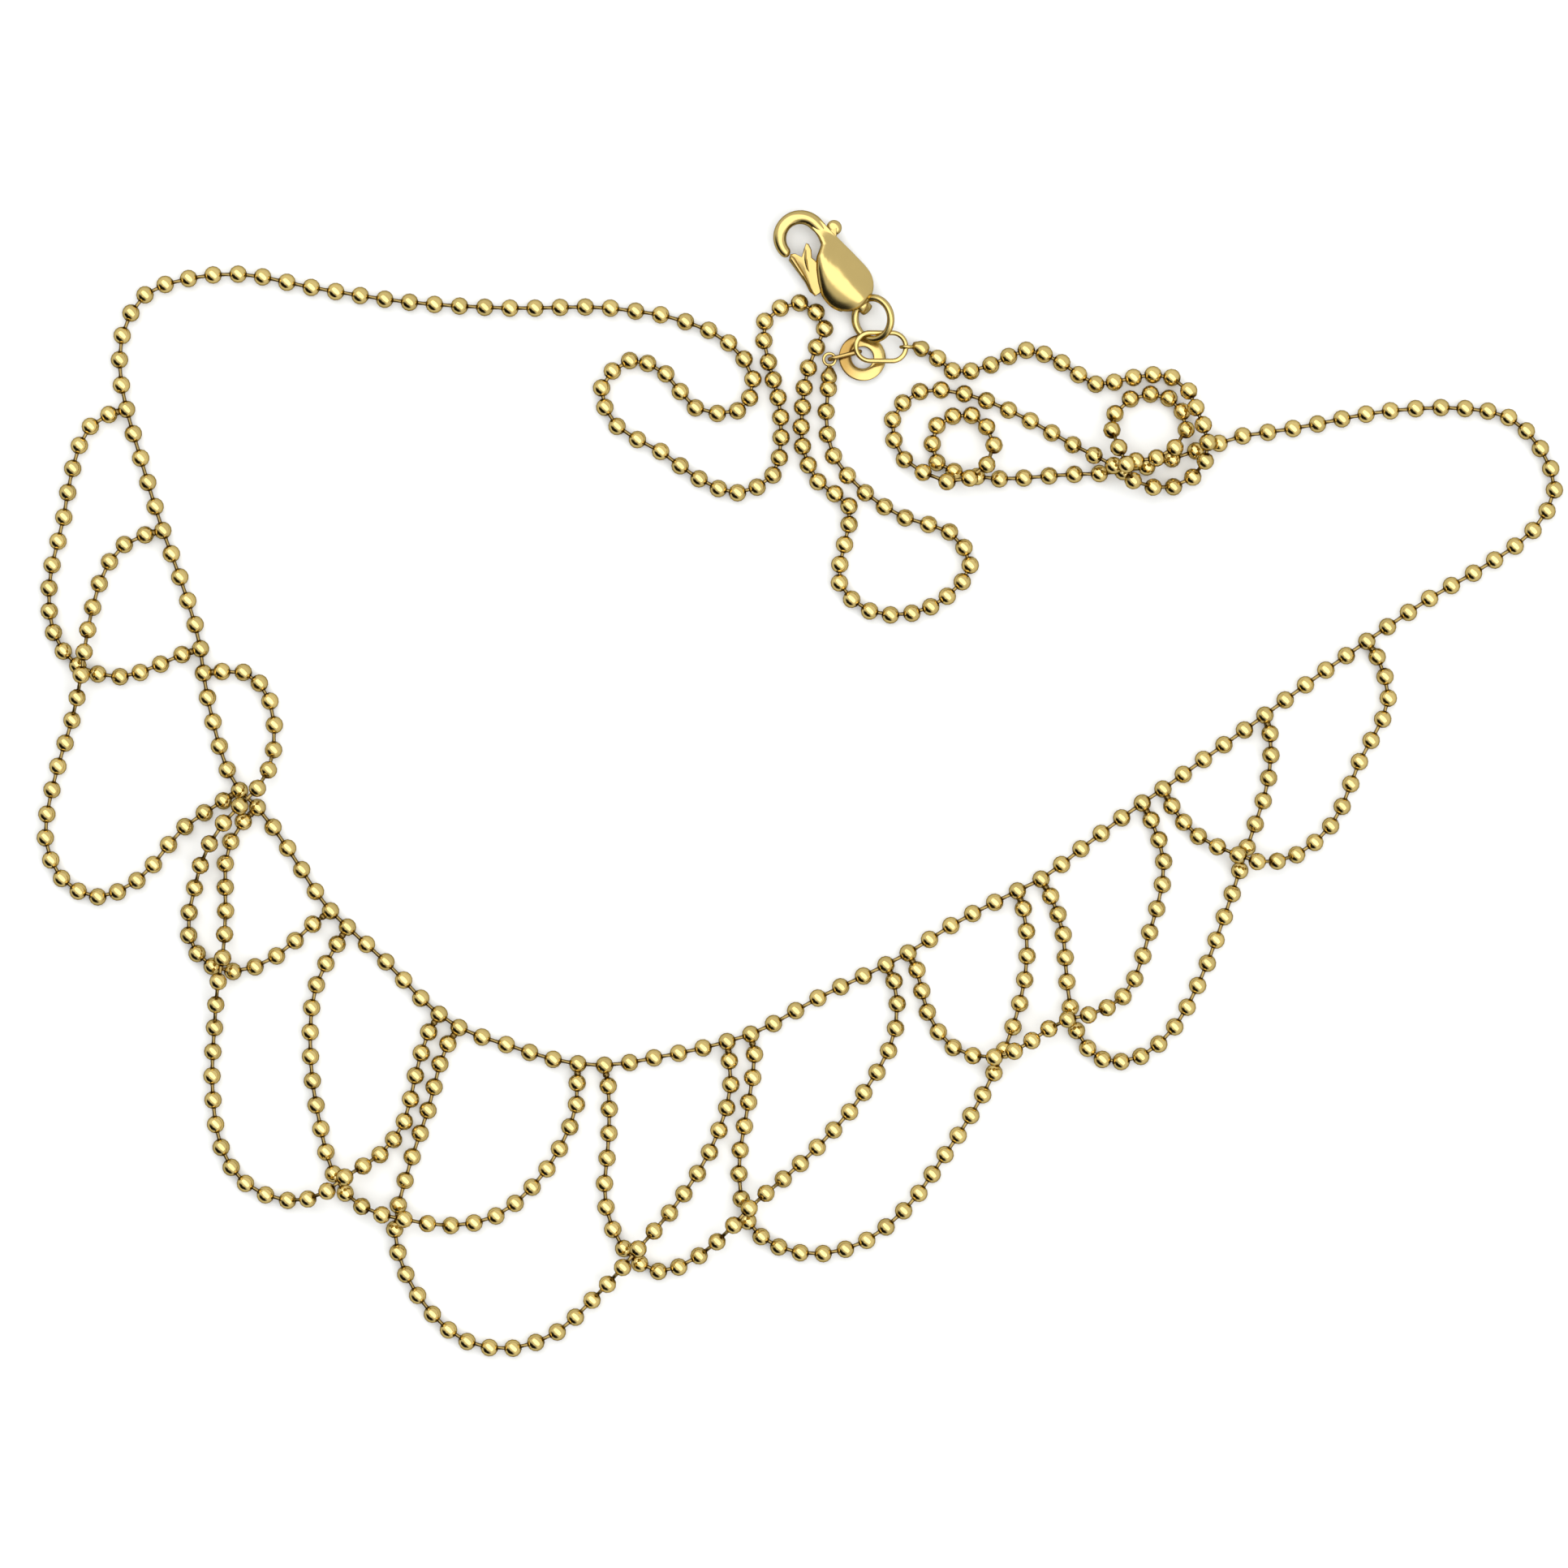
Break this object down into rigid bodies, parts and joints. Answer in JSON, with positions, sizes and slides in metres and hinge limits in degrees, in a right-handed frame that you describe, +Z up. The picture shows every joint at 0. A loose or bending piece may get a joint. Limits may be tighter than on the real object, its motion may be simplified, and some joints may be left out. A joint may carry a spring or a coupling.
{
  "type": "festoon necklace",
  "caption": "Ball-chain festoon necklace with overlapping looped swags along its front, a lobster clasp and a flat closing ring.",
  "frame": {"origin": "middle of the bounding box's base, on the table that the necklace lies on", "axes": "+X to the wearer's left and the picture's right, +Y from the swags to the clasp, +Z up from the table"},
  "size_m": [0.1034, 0.0775, 0.004],
  "materials": {
    "neck_beads": "polished",
    "neck_wire": "polished",
    "tail_left": "polished",
    "tail_right": "polished",
    "swag_01": "polished",
    "swag_02": "polished",
    "swag_03": "polished",
    "swag_04": "polished",
    "swag_05": "polished",
    "swag_06": "polished",
    "swag_07": "polished",
    "swag_08": "polished",
    "swag_09": "polished",
    "swag_10": "polished",
    "swag_11": "polished",
    "clasp_lever": "polished",
    "clasp_body": "polished",
    "clasp_ring": "polished",
    "oval_ring": "polished",
    "cap_right": "polished",
    "cap_left": "polished",
    "end_link": "polished",
    "end_ring": "polished"
  },
  "bodies": {
    "necklace": {"neck_beads": "neck_beads", "neck_wire": "neck_wire", "tail_left": "tail_left", "tail_right": "tail_right", "swag_01": "swag_01", "swag_02": "swag_02", "swag_03": "swag_03", "swag_04": "swag_04", "swag_05": "swag_05", "swag_06": "swag_06", "swag_07": "swag_07", "swag_08": "swag_08", "swag_09": "swag_09", "swag_10": "swag_10", "swag_11": "swag_11", "clasp_body": "clasp_body", "clasp_ring": "clasp_ring", "oval_ring": "oval_ring", "cap_right": "cap_right", "cap_left": "cap_left", "end_link": "end_link", "end_ring": "end_ring"},
    "lever": {"clasp_lever": "clasp_lever"}
  },
  "joints": [
    {"name": "lever_hinge", "type": "hinge", "parent": "necklace", "child": "lever", "pos_m": [0.00232, 0.0346, 0.00112], "axis": [0, 0, -1], "range_deg": [0, 22], "stiffness_Nm_per_rad": 0.0002, "springref_deg": -11.46}
  ]
}
